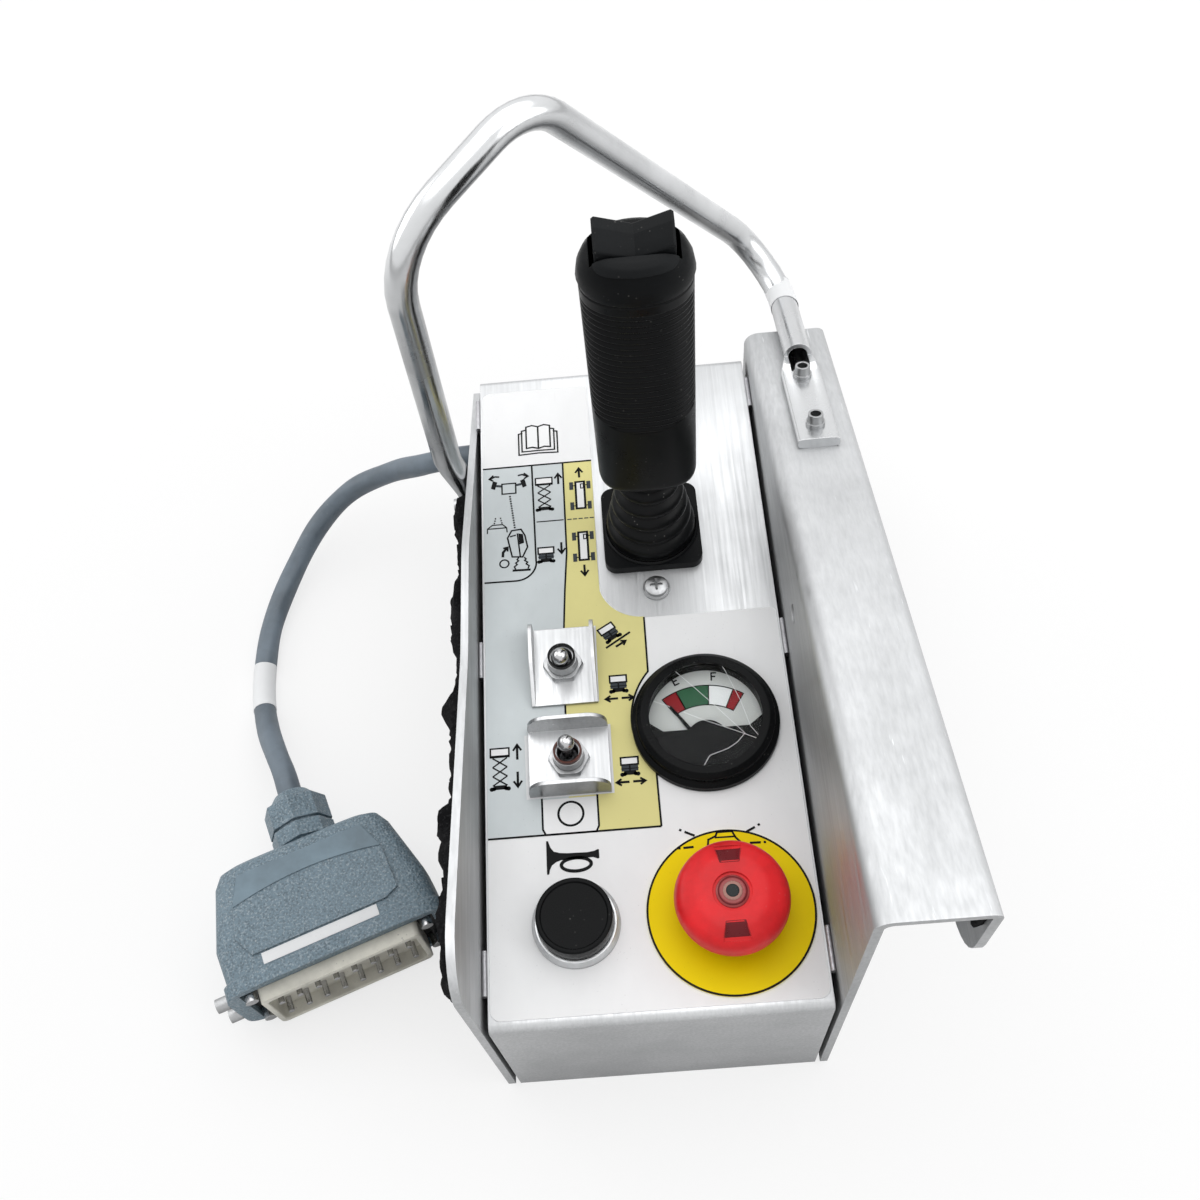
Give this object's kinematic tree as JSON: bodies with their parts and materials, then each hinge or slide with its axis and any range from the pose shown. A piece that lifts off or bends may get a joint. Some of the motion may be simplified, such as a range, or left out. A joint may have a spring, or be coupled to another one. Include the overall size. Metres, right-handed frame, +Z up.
{
  "type": "scissor lift control box",
  "caption": "Hand control box with a rail hook and guard hoop, joystick, guarded toggles, gauge, push button, stop button and a plug on its cable.",
  "frame": {"origin": "centre of the base cover's underside, midway between the side plates and between the front and back faces", "axes": "+X to the operator's right, +Y away from the operator towards the back, +Z up out of the control panel"},
  "size_m": [0.2821, 0.3449, 0.2662],
  "materials": {
    "sheet_aluminium": "brushed, worn",
    "plate_steel": "galvanised, scratched",
    "hoop_steel": "zinc plated, scuffed",
    "screw_steel": "zinc plated",
    "overlay": "printed film",
    "foam": "open cell foam, torn",
    "black_plastic": "fine textured",
    "rocker_plastic": "soft touch",
    "gaiter_rubber": "satin",
    "brown_seal": "satin",
    "stick_steel": "turned",
    "switch_plastic": "moulded",
    "toggle_chrome": "polished",
    "guard_aluminium": "satin",
    "dial": "printed",
    "pointer": "painted",
    "lens": "clear, cracked",
    "button_black": "satin",
    "ring_aluminium": "satin",
    "barrel": "moulded",
    "stop_yellow": "printed",
    "stop_red": "satin",
    "terminal_plastic": "moulded",
    "cable_jacket": "satin",
    "plug_paint": "hammered",
    "insert_plastic": "moulded",
    "pin_metal": "plated"
  },
  "bodies": {
    "box": {"control_panel": "sheet_aluminium", "base_cover": "sheet_aluminium", "left_side_plate": "plate_steel", "right_hanger_plate": "plate_steel", "weld_beads": "plate_steel", "guard_hoop": "hoop_steel", "hoop_rivets": "hoop_steel", "base_screws": "screw_steel", "joystick_screws": "screw_steel", "switch_nuts": "screw_steel", "gauge_nuts": "screw_steel", "gauge_clamp": "screw_steel", "button_nuts": "screw_steel", "panel_overlay": "overlay", "side_foam_pad": "foam", "rail_pad": "foam", "joystick_base": "black_plastic", "gauge_bezel": "black_plastic", "gauge_cover": "black_plastic", "stop_collar": "black_plastic", "joystick_body": "black_plastic", "gauge_case": "black_plastic", "joystick_gaiter": "gaiter_rubber", "cable_grommet": "gaiter_rubber", "upper_switch_seal": "gaiter_rubber", "lower_switch_seal": "brown_seal", "upper_switch_body": "switch_plastic", "lower_switch_body": "switch_plastic", "upper_switch_guard": "guard_aluminium", "lower_switch_guard": "guard_aluminium", "gauge_dial": "dial", "gauge_lens": "lens", "horn_ring": "ring_aluminium", "horn_barrel": "barrel", "stop_barrel": "barrel", "horn_contact": "barrel", "stop_contact": "barrel", "stop_disc": "stop_yellow", "terminal_strip": "terminal_plastic", "cable": "cable_jacket", "cable_tail": "cable_jacket", "plug_hood": "plug_paint", "plug_gland": "plug_paint", "plug_insert": "insert_plastic", "plug_pins": "pin_metal", "plug_pegs": "pin_metal"},
    "joystick": {"joystick_shaft": "stick_steel", "joystick_grip": "black_plastic", "grip_cap": "black_plastic"},
    "rocker": {"thumb_rocker": "rocker_plastic"},
    "upper_toggle": {"upper_toggle_lever": "toggle_chrome"},
    "lower_toggle": {"lower_toggle_lever": "toggle_chrome"},
    "horn_button": {"horn_cap": "button_black"},
    "stop_stem": {"stop_plunger": "stop_red"},
    "stop_button": {"stop_head": "stop_red"},
    "pointer": {"gauge_pointer": "pointer"}
  },
  "joints": [
    {"name": "joystick_tilt", "type": "hinge", "parent": "box", "child": "joystick", "pos_m": [0.012, 0.05587, 0.086], "axis": [1, 0, 0], "range_deg": [-18, 18], "stiffness_Nm_per_rad": 0.8, "deforming": ["joystick_gaiter"]},
    {"name": "rocker_tilt", "type": "hinge", "parent": "joystick", "child": "rocker", "pos_m": [0.012, 0.05587, 0.2513], "axis": [0, 1, 0], "range_deg": [-10, 10], "stiffness_Nm_per_rad": 0.05},
    {"name": "upper_toggle_throw", "type": "hinge", "parent": "box", "child": "upper_toggle", "pos_m": [-0.02784, -0.00611, 0.098], "axis": [1, 0, 0], "range_deg": [-30, 0]},
    {"name": "lower_toggle_throw", "type": "hinge", "parent": "box", "child": "lower_toggle", "pos_m": [-0.02724, -0.04656, 0.098], "axis": [0, 1, 0], "range_deg": [-15, 15], "stiffness_Nm_per_rad": 0.03},
    {"name": "horn_press", "type": "slide", "parent": "box", "child": "horn_button", "axis": [0, 0, -1], "range_m": [0, 0.003], "stiffness_N_per_m": 300},
    {"name": "stop_press", "type": "slide", "parent": "box", "child": "stop_stem", "axis": [0, 0, -1], "range_m": [0, 0.004]},
    {"name": "stop_twist", "type": "hinge", "parent": "stop_stem", "child": "stop_button", "pos_m": [0.02796, -0.10942, 0.11], "axis": [0, 0, 1], "range_deg": [-45, 0], "stiffness_Nm_per_rad": 0.02},
    {"name": "pointer_swing", "type": "hinge", "parent": "box", "child": "pointer", "pos_m": [0.02604, -0.04792, 0.0966], "axis": [0, 0, 1], "range_deg": [-66, 0]}
  ]
}
